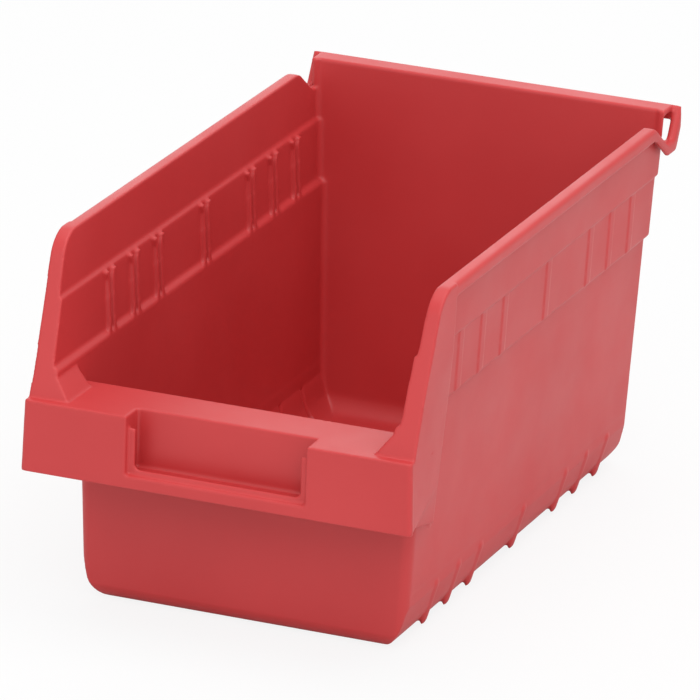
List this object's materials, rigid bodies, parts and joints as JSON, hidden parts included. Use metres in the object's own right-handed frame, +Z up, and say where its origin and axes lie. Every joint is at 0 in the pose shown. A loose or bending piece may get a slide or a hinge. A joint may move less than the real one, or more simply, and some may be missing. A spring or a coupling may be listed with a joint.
{
  "type": "shelf bin",
  "caption": "Open-topped plastic storage bin with a sloped hopper front, label holder in the front lip, divider slots in the sides and a hanging lip at the rear.",
  "frame": {"origin": "centre of the bounding box in plan, on the surface that the bin stands on", "axes": "+X to the bin's right seen from the front, +Y from the open hopper front to the rear wall, +Z up"},
  "size_m": [0.1684, 0.2954, 0.1565],
  "materials": {
    "body": "satin moulded plastic"
  },
  "bodies": {
    "root": {"floor_panel": "body", "front_wall": "body", "rear_wall": "body", "lip_face": "body", "lip_shelf": "body", "label_pocket": "body", "label_frame": "body", "hanger_flange": "body", "rim_flange_left": "body", "rim_flange_right": "body", "hopper_edge_left": "body", "hopper_edge_right": "body", "hopper_cheek_left": "body", "hopper_cheek_right": "body", "lower_wall_left": "body", "lower_wall_right": "body", "slot_band_left": "body", "slot_band_right": "body", "upper_band_left": "body", "upper_band_right": "body", "pocket_ribs_left": "body", "pocket_ribs_right": "body", "hanger_end_left": "body", "hanger_end_right": "body", "lip_gusset_left": "body", "lip_gusset_right": "body"}
  },
  "joints": []
}
